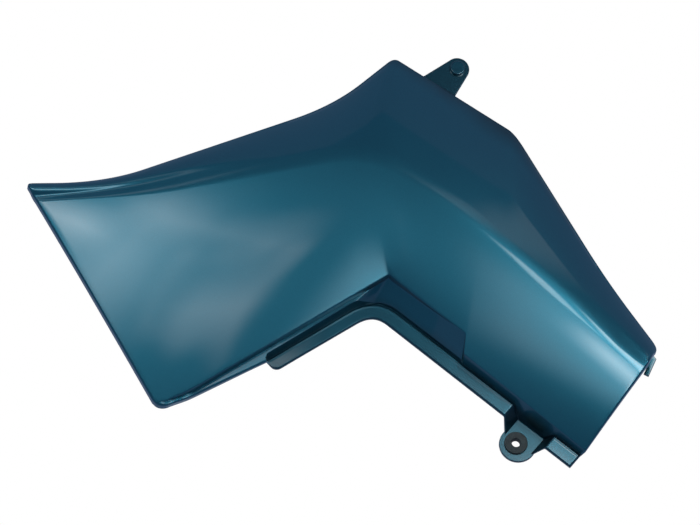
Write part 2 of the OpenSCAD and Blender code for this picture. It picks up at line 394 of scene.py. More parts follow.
@dataclass(frozen=True)
class MouldedRubber:
    """Satin rubber with a fine grain and a trace of dust."""

    dark: tuple[float, float, float, float] = linear(30, 40, 43)
    dusty: tuple[float, float, float, float] = linear(44, 57, 60)

    def material(self) -> bpy.types.Material:
        """Builds the shader of the grommet."""
        made = bpy.data.materials.new("moulded_rubber")
        made.use_nodes = True
        graph = Graph(made.node_tree)
        place = graph.node("ShaderNodeTexCoord").outputs["Object"]
        cloud = graph.signal(
            "ShaderNodeTexNoise", {}, {"Vector": place, "Scale": 240.0, "Detail": 3.0}
        )
        grain = graph.signal(
            "ShaderNodeTexNoise", {}, {"Vector": place, "Scale": 1900.0, "Detail": 2.0}
        )
        bump = graph.node(
            "ShaderNodeBump", {}, {"Strength": 0.25, "Distance": 0.0002, "Height": grain}
        )
        shader = graph.node(
            "ShaderNodeBsdfPrincipled",
            {},
            {
                "Base Color": graph.blend(cloud.smooth(0.3, 0.7), self.dark, self.dusty),
                "Roughness": 0.5 + cloud * 0.16,
                "Normal": bump.outputs[0],
            },
        )
        graph.node("ShaderNodeOutputMaterial", {}, {"Surface": shader.outputs[0]})
        return made


class Workshop:
    """Makes objects out of points and joins closed shells."""

    @staticmethod
    def solid(name: str, points: Sequence[Point], faces: Sequence[Sequence[int]]) -> bpy.types.Object:
        """Makes an object from points in millimetres.

        Args:
            name: Name of the object.
            points: Its corners.
            faces: Corner numbers of each face, in either turning direction.

        Returns:
            The object, linked to the scene, its faces turned outwards.
        """
        mesh = bpy.data.meshes.new(name)
        mesh.from_pydata([tuple(p * MM) for p in points], [], faces)
        work = bmesh.new()
        work.from_mesh(mesh)
        bmesh.ops.recalc_face_normals(work, faces=work.faces)
        work.to_mesh(mesh)
        work.free()
        made = bpy.data.objects.new(name, mesh)
        bpy.context.scene.collection.objects.link(made)
        return made

    @classmethod
    def plate(cls, name: str, outline: Sequence[Point], front: float, thickness: float,
              edge: float) -> bpy.types.Object:
        """Makes a flat plate with rounded edges.

        Args:
            name: Name of the object.
            outline: Corners of the plate, seen along y.
            front: Where the outer face lies along y.
            thickness: Depth of the plate.
            edge: Width of the rounds along the rim.

        Returns:
            The plate.
        """
        count = len(outline)
        flats = [p * np.array([1.0, 0.0, 1.0]) for p in outline]
        points = [p + BACK * front for p in flats] + [p + BACK * (front + thickness) for p in flats]
        sides = [[i, (i + 1) % count, count + (i + 1) % count, count + i] for i in range(count)]
        faces = [list(range(count)), list(range(count, 2 * count))] + sides
        made = cls.solid(name, points, faces)
        work = bmesh.new()
        work.from_mesh(made.data)
        rim = [e for e in work.edges if any(len(f.verts) == count for f in e.link_faces)]
        bmesh.ops.bevel(work, geom=rim, offset=edge * MM, segments=3, profile=0.5, affect="EDGES")
        work.to_mesh(made.data)
        work.free()
        return made

    @classmethod
    def turned(cls, name: str, profile: Sequence[tuple[float, float]], centre: Point,
               steps: int = 72, closed: bool = False) -> bpy.types.Object:
        """Revolves a profile about an axis along y.

        Args:
            name: Name of the object.
            profile: Radius and place along y of each point, in order.
            centre: Point that the axis passes through.
            steps: How many sides the turn has.
            closed: True for a ring's profile, which ends where it begins.

        Returns:
            The turned solid.
        """
        points: list[Point] = []
        rings: list[list[int]] = []
        for radius, along in profile:
            if radius == 0:
                rings.append([len(points)] * steps)
                points.append(centre + BACK * along)
                continue
            rings.append(list(range(len(points), len(points) + steps)))
            for i in range(steps):
                angle = 2 * math.pi * i / steps
                points.append(
                    centre + flat(radius * math.cos(angle), radius * math.sin(angle)) + BACK * along
                )
        pairs = list(zip(rings, rings[1:] + rings[:1])) if closed else list(zip(rings, rings[1:]))
        faces = []
        for low, high in pairs:
            for i in range(steps):
                k = (i + 1) % steps
                face = list(dict.fromkeys([low[i], low[k], high[k], high[i]]))
                faces.append(face)
        return cls.solid(name, points, faces)

    @staticmethod
    def combine(target: bpy.types.Object, other: bpy.types.Object, operation: str) -> None:
        """Joins another closed shell to the target, or cuts it out, and deletes it."""
        modifier = target.modifiers.new(operation.lower(), "BOOLEAN")
        modifier.operation = operation
        modifier.solver = "MANIFOLD"
        modifier.object = other
        graph = bpy.context.evaluated_depsgraph_get()
        result = bpy.data.meshes.new_from_object(target.evaluated_get(graph))
        target.modifiers.clear()
        target.data = result
        bpy.data.objects.remove(other)

    @staticmethod
    def finish(made: bpy.types.Object, material: bpy.types.Material, crease: float) -> None:
        """Gives an object its material and its shading.

        Args:
            made: The object.
            material: What it is made of.
            crease: Angle in degrees above which an edge stays sharp.
        """
        made.data.materials.clear()
        made.data.materials.append(material)
        made.data.shade_smooth()
        made.data.set_sharp_from_angle(angle=math.radians(crease))
        weigh = made.modifiers.new("even_shading", "WEIGHTED_NORMAL")
        weigh.keep_sharp = True
        weigh.weight = 50


@dataclass
class Ear:
    """A flat ear with a round end, its sides tangent to the round."""

    centre: Point
    radius: float
    thickness: float
    edge: float = 0.5

    def touch(self, root: Point, hand: int) -> float:
        """Angle on the round end at which the side from a root point touches it."""
        away = root - self.centre
        gap = math.hypot(away[0], away[2])
        return math.atan2(away[2], away[0]) + hand * math.acos(self.radius / gap)

    def outline(self, first: Point, second: Point, steps: int = 28) -> list[Point]:
        """Corners of the ear between its two root points.

        Args:
            first: Root point from which the outline goes to the second.
            second: The other root point.
            steps: How many pieces the round end has.

        Returns:
            The corners in order.
        """
        start, stop = self.touch(second, -1), self.touch(first, 1)
        while stop > start:
            stop -= 2 * math.pi
        angles = [start + (stop - start) * i / steps for i in range(steps + 1)]
        arc = [self.centre + self.radius * flat(math.cos(a), math.sin(a)) for a in angles]
        return [first, second] + arc


@dataclass
class Moulding:
    """The painted moulding, lofted along stations from 0 at the front end to 100 at the rear.

    Every size is in millimetres, and every place along the loft is a station.
    """

    front_reach: float = 396.5
    front_height: float = 199.0
    foot_reach: float = 289.0
    foot_height: float = 7.5
    peak_reach: float = 98.5
    peak_height: float = 326.0
    shoulder_height: float = 265.5
    rear_reach: float = 113.0
    rear_height: float = 77.5
    elbow_height: float = 130.0
    foot_round: float = 10.0
    tip_round: float = 6.0
    recess_fall: float = 64.0
    ridge_proud: float = 40.0
    peak_proud: float = 12.0
    edge_proud: float = 28.5
    undercut: float = 7.0
    gutter_width: float = 1.4
    gutter_growth: float = 2.0
    gutter_depth: float = 0.5
    rolled_edge: float = 0.2
    flange_proud: float = 10.0
    wall: float = 2.5
    edge_round: float = 1.5
    lip_depth: float = 7.0
    foot_lip: float = 4.0
    ridge_round: float = 9.0
    bend_round: float = 5.0
    crown: float = 2.0
    flange_width: float = 10.0
    flange_growth: float = 2.3
    ledge_width: float = 3.2
    recess_depth: float = 17.0
    face_strip: float = 5.0
    ear_reach: float = 17.0
    ear_sink: float = 0.25
    ear_drop: float = 4.0
    ear_thickness: float = 3.0
    squeeze: float = 0.3
    elbow_at: float = 48.0
    step_before: float = 70.0
    step_after: float = 70.3
    groove_before: float = 24.1
    groove_after: float = 24.5
    ear_from: float = 83.2
    ear_in: float = 85.5
    ear_out: float = 91.9
    ear_to: float = 93.6
    upper_front: float = 54.5
    upper_rear: float = 62.1
    upper_at: float = 61.5
    upper_out: float = 23.6
    upper_sink: float = 0.2
    root_round: float = 1.6
    upper_radius: float = 9.6
    head_diameter: float = 12.4
    head_height: float = 3.0
    peg_diameter: float = 8.0
    peg_length: float = 12.0
    hook_width: float = 6.0
    hook_thickness: float = 3.0
    hook_reach: float = 20.5
    hook_back: float = 24.0
    lower_radius: float = 15.0
    seat_radius: float = 6.6
    stations: list[float] = field(default_factory=list)

    def __post_init__(self) -> None:
        """Lays the rails and spreads the stations."""
        self.top_edge = Rail(
            Knot(0, 0, -self.front_reach, -25, self.front_height),
            Knot(8, 5, 63.5 - self.front_reach, -22.5, self.front_height + 4),
            Knot(37, 5, -148, -15, 281),
            Knot(self.elbow_at, 1.2, -self.peak_reach, -self.peak_proud, self.peak_height),
            Knot(76, 1.5, -0.5, -8, self.shoulder_height),
            Knot(91, 3.5, 73.2, -16, 135.8),
            Knot(98.6, 1, self.rear_reach, -21, self.rear_height),
            Knot(100, 0, self.rear_reach - 4, -25, self.rear_height - 5.3),
        )
        self.ridge = Rail(
            Knot(0, 0, 7.9 - self.front_reach, -27.5, self.front_height - 14.1),
            Knot(10, 7, 72.5 - self.front_reach, -31, self.front_height - 7),
            Knot(self.elbow_at, 6, -122.5, -self.ridge_proud, 235.5),
            Knot(66, 6, -48.5, 0.5 - self.ridge_proud, 189),
            Knot(100, 0, self.rear_reach - 11, 4.5 - self.ridge_proud, self.rear_height - 20),
        )
        self.face_edge = Rail(
            Knot(0, 0, -self.foot_reach - 1.9, 2.5 - self.edge_proud, self.foot_height + 3.5),
            Knot(8, 3, -262, 2 - self.edge_proud, 25.7),
            Knot(self.elbow_at, 0.4, -104, -self.edge_proud, self.elbow_height),
            Knot(self.step_after, 0, -44, 4 - self.edge_proud, self.elbow_height - self.recess_fall),
            Knot(100, 0, 54, 9.5 - self.edge_proud, -11.5),
        )
        self.bend = Rail(*(
            replace(knot, half=self.bend_round) if knot.station == self.elbow_at else knot
            for knot in self.face_edge.knots
        ))
        self.foot_edge = Rail(
            Knot(0, 0, -self.foot_reach, 0, self.foot_height),
            Knot(self.groove_before, 0, -201.5, 0, 55),
        )
        self.fold = Rail(
            Knot(self.groove_after, 0, -200, -self.flange_proud, 58.6),
            Knot(self.elbow_at, 5.5, -114.5, -self.flange_proud, 116.5),
            Knot(100, 0, 50, -self.flange_proud, -13),
        )
        self.stations = self.spread()
        plan = np.array([1.0, 0.0, 1.0])
        self.foot_corner = self.foot_edge.knots[0].point * plan
        self.tip_corner = self.top_edge.knots[0].point * plan
        self.foot_up = unit(self.tip_corner - self.foot_corner)
        self.foot_along = unit(self.foot_edge.knots[1].point * plan - self.foot_corner)
        self.tip_along = unit(self.top_edge.knots[1].point * plan - self.tip_corner)
        rear = self.ridge.at(100) - self.face_edge.at(100)
        self.front_normal = flat(-self.foot_up[2], self.foot_up[0])
        self.rear_normal = unit(flat(rear[2], -rear[0]))

    def spread(self) -> list[float]:
        """Stations of the loft, close together where the section changes fast."""
        runs = [
            (0.7, 4, 0.36), (4, self.groove_before, 0.6),
            (self.groove_before, self.groove_after, 0.08), (self.groove_after, 27, 0.12),
            (27, 42.5, 0.6), (42.5, 53.5, 0.15), (53.5, self.step_before - 0.4, 0.6),
            (self.step_before - 0.4, self.step_after + 0.4, 0.05),
            (self.step_after + 0.4, self.ear_from - 0.5, 0.6),
            (self.ear_from - 0.5, self.ear_to + 0.5, 0.15), (self.ear_to + 0.5, 99.5, 0.4),
        ]
        marks: list[float] = [0.0]
        for start, stop, step in runs:
            count = max(1, round((stop - start) / step))
            marks += [start + (stop - start) * i / count for i in range(count)]
        return marks + [99.5, 100.0]

    def undercut_at(self, s: float) -> float:
        """Depth of the undercut below the painted face, which runs out along the recess."""
        start = self.undercut * ramp(s, 2.5, 7, 1.5)
        return 0.2 + start * (1 - ramp(s, 46.3, self.step_before, 0.4))

    def flange_at(self, s: float) -> float:
        """Width of the flange, which has a round start."""
        width = self.flange_width + self.flange_growth * ramp(s, 30, 100)
        short = 1 - ramp(s, self.groove_after, 26)
        return width * (0.4 + 0.6 * math.sqrt(1 - short * short))

    def ear_share(self, s: float) -> float:
        """Share of the lower ear's pocket at a station, from 0 to 1."""
        enter = ramp(s, self.ear_from, self.ear_in, 0.18)
        return enter * (1 - ramp(s, self.ear_out, self.ear_to, 0.18))

    def recess_at(self, s: float) -> float:
        """How far the recess at the elbow cuts the face back."""
        deep = self.recess_depth * ramp(s, self.elbow_at, self.step_before, 0.3)
        return deep * (1 - ramp(s, self.step_before, self.step_after, 0.1))

    def miter_share(self, s: float) -> float:
        """How far the inner skin moves sideways at the walls, as a share of the wall."""
        if s < self.elbow_at:
            return 0.9 - 0.48 * ramp(s, 44, self.elbow_at)
        return 0.42 + 0.26 * ramp(s, self.step_before, self.step_after)

    def inset(self, inner: int) -> float:
        """How far a skin's border stays inside the outline."""
        return self.wall if inner else self.edge_round

    def grooved(self, s: float) -> float:
        """Share of the change from the plain foot to the flange."""
        share = ramp(s, self.groove_before, self.groove_after)
        return share * share * (3 - 2 * share)

    def lower_side(self, s: float) -> Point:
        """Outward direction of the free lower edge."""
        foot = self.foot_edge.side(min(s, self.groove_before))
        fold = self.fold.side(max(s, self.groove_after))
        return unit(mix(foot, fold, self.grooved(s)))

    def foot_rails(self, s: float, inner: int, edge: Point) -> list[Point]:
        """Lower rails ahead of the groove: face edge, foot of the wall below it, floor end,
        gutter, fold, end of the rolled edge and rim."""
        side = self.foot_edge.side(s)
        sink = self.undercut_at(s)
        skin = BACK * self.wall * inner
        foot = self.foot_edge.at(s)
        rim = flat(foot[0], foot[2]) + BACK * (edge[1] + sink) + skin
        shift = skin - side * self.wall * inner * self.miter_share(s)
        return [
            edge + shift,
            edge + side * self.squeeze + BACK * sink + shift,
            *(rim - side * (self.inset(inner) + k * 1.2 * self.squeeze) for k in (4, 3, 2, 1)),
            rim,
        ]

    def flange_rails(self, s: float, inner: int, edge: Point) -> list[Point]:
        """Lower rails along the groove and the flange, in the same order."""
        side = self.fold.side(s)
        share = self.ear_share(s)
        shift = BACK * self.wall * inner - side * self.wall * inner * self.miter_share(s)
        turn = self.fold.at(s) + side * self.ear_drop * share
        turn = turn + BACK * (self.flange_proud + self.ear_sink) * share
        opened = ramp(s, 44.4, 47.4, 0.5)
        inside = ramp(s, 46, 49, 0.3) * (1 - ramp(s, self.step_before - 0.4, self.step_after, 0.1))
        foot = edge + side * self.squeeze + BACK * self.undercut_at(s)
        ledge = turn - side * self.ledge_width + BACK * (foot[1] - turn[1])
        fall = foot - turn
        width = self.gutter_width + self.gutter_growth * inside
        floor_end = turn + fall * min(width / math.hypot(fall[0], fall[2]), 0.6)
        gutter = turn - side * width * 0.7 + BACK * (self.gutter_depth * (1 - share))
        rolled = turn - BACK * self.rolled_edge * (1 - share)
        reach = self.flange_at(s) + (self.ear_reach - self.flange_at(s)) * share
        rim = turn + side * reach + BACK * self.wall * inner
        if inner:
            gutter, rolled = mix(floor_end, turn, 0.5), turn
        return [
            edge + shift,
            foot + shift,
            mix(ledge, floor_end, opened) + shift,
            gutter + shift,
            rolled + shift,
            mix(turn + shift, rim, 0.15),
            rim,
        ]

    def lower_rails(self, s: float, inner: int, edge: Point) -> list[Point]:
        """Lower rails at any station."""
        share = self.grooved(s)
        if share == 0:
            return self.foot_rails(s, inner, edge)
        flange = self.flange_rails(max(s, self.groove_after), inner, edge)
        if share == 1:
            return flange
        foot = self.foot_rails(self.groove_before, inner, edge)
        return [mix(a, b, share) for a, b in zip(foot, flange)]

    def face(self, start: Point, stop: Point, share: float) -> Point:
        """Point of a crowned face between two rails."""
        return mix(start, stop, share) - BACK * self.crown * 4 * share * (1 - share)

    def front(self, s: float, start: Point, stop: Point, share: float) -> Point:
        """Point of the face below the ridge, whose bend at the elbow gets sharp at the edge."""
        rounded = self.bend.at(s) - self.face_edge.at(s)
        return self.face(start, stop + rounded * (1 - share ** 8), share)

    def section(self, s: float, inner: int) -> list[Point]:
        """One section of a skin, from the top edge to the free lower edge.

        Args:
            s: Station of the section.
            inner: 0 for the outer skin and 1 for the inner skin.

        Returns:
            The points of the section, always as many.
        """
        skin = BACK * self.wall * inner
        top = self.top_edge.at(s) + skin
        crest = self.ridge.at(s) + skin * 1.08
        brink = self.face_edge.at(s) + skin
        narrow = min(self.ridge_round, 0.25 * float(np.linalg.norm(top - crest)))
        half = narrow + (self.ridge_round - narrow) * ramp(s, 0, 25)
        above = toward(crest, top, narrow)
        below = toward(crest, brink, half)
        span = float(np.linalg.norm(brink - crest))
        end = 1 - self.recess_at(s) / span
        strip = end - self.face_strip / span
        low = self.lower_rails(s, inner, self.front(s, below, brink, end) - skin)
        leave = unit(above - top + BACK * self.crown * 4)
        arrive = unit(brink - below - BACK * self.crown * 4)
        pull, broad = 0.62, 0.68
        handles = (
            above + leave * float(np.linalg.norm(crest - above)) * pull,
            below - arrive * float(np.linalg.norm(crest - below)) * pull,
        )
        points = [self.face(top, above, i / 14) for i in range(15)]
        points += [cubic(above, *handles, below, i / 12) for i in range(1, 12)]
        points += [self.front(s, below, brink, broad * i / 13) for i in range(14)]
        points += [
            self.front(s, below, brink, broad + (strip - broad) * i / 4) for i in range(1, 4)
        ]
        last = self.front(s, below, brink, strip)
        rim = low[6] - self.lower_side(s) * self.inset(inner)
        points += [last]
        points += fillet(last, low[0], low[1], 1.4, 6)
        points += fillet(low[0], low[1], low[2], 0.8, 4)
        points += fillet(low[1], low[2], low[3], 0.7, 5)
        points += fillet(low[2], low[3], low[4], 0.5, 4)
        points += fillet(low[3], low[4], low[5], 0.6, 6)
        points += fillet(low[4], low[5], rim, 0.8, 4)
        return points + [low[6]]

    @staticmethod
    def pinch(point: Point, corner: Point, first: Point, second: Point, radius: float) -> Point:
        """Moves a point of a corner's square onto a quarter disc.

        Args:
            point: The point to move.
            corner: The sharp corner.
            first: Direction of one edge that leaves the corner.
            second: Direction of the other edge.
            radius: Side of the square.

        Returns:
            The point where it belongs, its depth unchanged.
        """
        away = point - corner
        spread = first[0] * second[2] - first[2] * second[0]
        a = radius - (away[0] * second[2] - away[2] * second[0]) / spread
        b = radius - (first[0] * away[2] - first[2] * away[0]) / spread
        if a <= 0 or b <= 0:
            return point
        k = max(a, b) / math.hypot(a, b)
        moved = corner + first * (radius - a * k) + second * (radius - b * k)
        return moved * np.array([1.0, 0.0, 1.0]) + BACK * point[1]

    def soften(self, point: Point) -> Point:
        """Rounds the two corners of the front end."""
        foot = self.pinch(point, self.foot_corner, self.foot_along, self.foot_up, self.foot_round)
        return self.pinch(foot, self.tip_corner, self.tip_along, -self.foot_up, self.tip_round)

    def outward(self, i: int, j: int, rows: int) -> Point:
        """Direction out of the outline at a border point, or zero inside the border."""
        last = len(self.stations) - 1
        end = self.front_normal if i == 0 else self.rear_normal if i == last else np.zeros(3)
        flank = np.zeros(3)
        if j == 0:
            flank = -self.top_edge.side(self.stations[i])
        elif j == rows - 1:
            flank = self.lower_side(self.stations[i])
        if end.any() and flank.any():
            return (end + flank) / max(0.5, 1 + float(end @ flank))
        return end + flank

    def lip_at(self, i: int, j: int, rows: int) -> float:
        """Depth of the return lip behind a border point."""
        s = self.stations[i]
        thin = self.wall + 0.2
        if i == len(self.stations) - 1:
            return self.lip_depth + (thin - self.lip_depth) * ramp(j, 26, rows - 16)
        if j < rows - 1:
            return self.lip_depth
        foot = self.lip_depth + (self.foot_lip - self.lip_depth) * ramp(s, 0, 20)
        return foot + (thin - foot) * self.grooved(s)

    def skin(self) -> bpy.types.Object:
        """Builds the shell: an outer skin, an inner skin and the rim that joins them."""
        sharp = [[self.section(s, inner) for s in self.stations] for inner in (0, 1)]
        columns, rows = len(self.stations), len(sharp[0][0])
        points: list[Point] = []
        for inner in (0, 1):
            for i in range(columns):
                for j in range(rows):
                    shift = self.outward(i, j, rows) * self.inset(inner)
                    points.append(self.soften(sharp[inner][i][j] - shift))

        def index(i: int, j: int, inner: int) -> int:
            return (inner * columns + i) * rows + j

        faces = [
            [index(i, j, n), index(i + 1, j, n), index(i + 1, j + 1, n), index(i, j + 1, n)]
            for n in (0, 1) for i in range(columns - 1) for j in range(rows - 1)
        ]
        border = [(i, 0) for i in range(columns)]
        border += [(columns - 1, j) for j in range(1, rows)]
        border += [(i, rows - 1) for i in range(columns - 2, -1, -1)]
        border += [(0, j) for j in range(rows - 2, 0, -1)]
        rings: list[list[int]] = []
        for i, j in border:
            base, root = points[index(i, j, 0)], points[index(i, j, 1)]
            out = self.soften(sharp[0][i][j]) - base
            ring = [index(i, j, 0)]
            turn = [base + out * math.sin(a) + BACK * self.edge_round * (1 - math.cos(a))
                    for a in (math.radians(18 * k) for k in range(1, 6))]
            deep = BACK * self.lip_at(i, j, rows)
            for point in turn + [base + out + deep, root + deep - BACK * self.wall]:
                ring.append(len(points))
                points.append(point)
            rings.append(ring + [index(i, j, 1)])
        for ring, following in zip(rings, rings[1:] + rings[:1]):
            for k in range(len(ring) - 1):
                faces.append([ring[k], following[k], following[k + 1], ring[k + 1]])
        return Workshop.solid("side_cover", points, faces)

    def lower_ear(self) -> bpy.types.Object:
        """Builds the plate that the grommet sits in."""
        ear = Ear(np.array([1.5, 0.0, -0.5]), self.lower_radius, self.ear_thickness)
        roots = [
            self.lower_rails(s, 1, self.face_edge.at(s))[4] for s in (self.ear_in, self.ear_out)
        ]
        first, second = (flat(p[0], p[2]) for p in roots)
        return Workshop.plate("ear", ear.outline(first, second), 0, self.ear_thickness, ear.edge)

    def root_fillet(self, face: float) -> bpy.types.Object:
        """Builds the hollow round between the top edge and the face of the upper ear.

        Args:
            face: Where the ear's outer face lies along y.

        Returns:
            The round as a closed prism.
        """
        start, stop = (self.top_edge.at(s) * np.array([1.0, 0.0, 1.0])
                       for s in (self.upper_front + 0.25, self.upper_rear - 0.1))
        out = -self.top_edge.side(self.upper_at)
        radius, buried = self.root_round, 0.4
        arc = [math.radians(15 * k) for k in range(7)]
        profile = [(-buried, buried), (-buried, -radius)]
        profile += [(radius * (1 - math.cos(a)), radius * (math.sin(a) - 1)) for a in arc]
        profile += [(radius, buried)]
        count = len(profile)
        points = [end + out * away + BACK * (face + deep)
                  for end in (start, stop) for away, deep in profile]
        sides = [[i, (i + 1) % count, count + (i + 1) % count, count + i] for i in range(count)]
        faces = [list(range(count)), list(range(count, 2 * count))] + sides
        return Workshop.solid("root_fillet", points, faces)

    def upper_ear(self) -> list[bpy.types.Object]:
        """Builds the upper ear, its domed head and the peg behind it."""
        face = float(self.top_edge.at(self.upper_front)[1]) + self.lip_depth
        face -= self.ear_thickness + self.upper_sink
        root = self.top_edge.at(self.upper_at)
        centre = flat(root[0] + self.upper_out * 0.19, root[2] + self.upper_out * 0.98)
        ear = Ear(centre, self.upper_radius, self.ear_thickness)
        ends = [
            self.top_edge.at(s) + self.top_edge.side(s) * 1.2
            for s in (self.upper_rear, self.upper_front)
        ]
        first, second = (flat(p[0], p[2]) for p in ends)
        plate = Workshop.plate(
            "upper_ear", ear.outline(first, second), face, self.ear_thickness, ear.edge
        )
        dome, radius = 0.45 * self.head_height, self.head_diameter / 2
        arc = [math.radians(9 * k) for k in range(11)]
        profile = [(0.0, 1.0), (radius, 1.0)]
        profile += [(radius - dome + dome * math.cos(a),
                     dome - self.head_height - dome * math.sin(a)) for a in arc]
        head = Workshop.turned("head", profile + [(0.0, -self.head_height)], centre + BACK * face)
        peg_radius, tip = self.peg_diameter / 2, self.ear_thickness + self.peg_length
        stem = [(0.0, 1.5), (peg_radius, 1.5), (peg_radius, tip - 0.8), (peg_radius - 0.25, tip - 0.25),
                (peg_radius - 0.8, tip), (0.0, tip)]
        peg = Workshop.turned("peg", stem, centre + BACK * face)
        return [plate, head, peg, self.root_fillet(face)]

    def hook(self) -> list[bpy.types.Object]:
        """Builds the hook's post and its tongue, behind the rear corner."""
        post = flat(self.rear_reach - 8, self.rear_height + 7)
        tip = post + flat(0.7, -self.hook_reach)
        start = float(self.top_edge.at(96)[1]) + 2.6
        end = start + self.hook_back
        half = self.hook_width / 2
        stem = [(0.0, start), (half, start), (half, end - 0.6), (half - 0.6, end), (0.0, end)]
        outline = [
            post + flat(-half, 0), post + flat(half, 2.5), post + flat(self.hook_width + 3, -5.5),
            tip + flat(2, 0), tip + flat(-2, 2), post + flat(4, -6.5),
        ]
        tongue = Workshop.plate(
            "tongue", outline, end - self.hook_thickness, self.hook_thickness, 0.5
        )
        return [Workshop.turned("post", stem, post), tongue]

    def build(self, paint: MetallicPaint) -> bpy.types.Object:
        """Builds the whole moulding as one closed solid and dresses it.

        Args:
            paint: Finish of the cover.

        Returns:
            The cover, in place of the solid of the panel.
        """
        cover = self.skin()
        for part in [self.lower_ear(), *self.upper_ear(), *self.hook()]:
            Workshop.combine(cover, part, "UNION")
        radius = self.seat_radius
        bore = Workshop.turned("seat", [(0.0, -1), (radius, -1), (radius, 4), (0.0, 4)], np.zeros(3))
        Workshop.combine(cover, bore, "DIFFERENCE")
        Workshop.finish(cover, paint.material(), 32)
        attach(cover, "root")
        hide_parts("panel")
        return cover


@dataclass
class Grommet:
    """The rubber grommet of the lower ear."""

    bore: float = 7.0
    head: float = 18.8
    neck: float = 13.0
    tail: float = 17.0
    head_height: float = 1.8
    tail_height: float = 1.4
    ear_thickness: float = 3.0
    round: float = 0.6

    def build(self, rubber: MouldedRubber) -> bpy.types.Object:
        """Builds the grommet with rounded flanges and a bevelled bore.

        Args:
            rubber: Finish of the grommet.

        Returns:
            The grommet, in place of its solid.
        """
        inner, head, tail = self.bore / 2, self.head / 2, self.tail / 2
        back = self.ear_thickness + self.tail_height
        arc = [math.radians(22.5 * k) for k in range(5)]
        profile = [(inner, 0.5 - self.head_height), (inner + 0.5, -self.head_height)]
        profile += [(head - self.round + self.round * math.sin(a),
                     self.round - self.head_height - self.round * math.cos(a)) for a in arc]
        profile += [(head, 0.0), (self.neck / 2, 0.0), (self.neck / 2, self.ear_thickness),
                    (tail, self.ear_thickness)]
        profile += [(tail - self.round + self.round * math.cos(a),
                     back - self.round + self.round * math.sin(a)) for a in arc]
        profile += [(inner + 0.3, back), (inner, back - 0.3)]
        made = Workshop.turned("rubber_grommet", profile, np.zeros(3), steps=96, closed=True)
        Workshop.finish(made, rubber.material(), 40)
        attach(made, "root")
        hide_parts("lower_grommet")
        return made


@dataclass(frozen=True)
class Softbox:
    """A lit patch of the front screen, in metres and in the screen's own plane."""

    x: float
    z: float
    half_width: float
    half_height: float
    edge: float
    level: float
    tilt: float = 0.0
    cloud: float = 0.0

    def glow(self, across: Signal, height: Signal, cloud: Signal) -> Signal:
        """Light of the patch at a place on the screen.

        Args:
            across: The place along x.
            height: The place along z.
            cloud: Noise from 0 to 1 that makes the patch uneven.

        Returns:
            The light to add to the screen's own.
        """
        wander = (cloud - 0.5) * self.cloud
        cosine, sine = math.cos(self.tilt), math.sin(self.tilt)
        right, up = across - self.x, height - self.z
        far_x = (right * cosine + up * sine).size() + wander * 0.3
        far_z = (up * cosine - right * sine).size() + wander * 0.2
        shape = far_x.smooth(self.half_width, self.half_width - self.edge)
        shape = shape * far_z.smooth(self.half_height, self.half_height - self.edge)
        return shape * (1.0 + wander * 2.0) * self.level


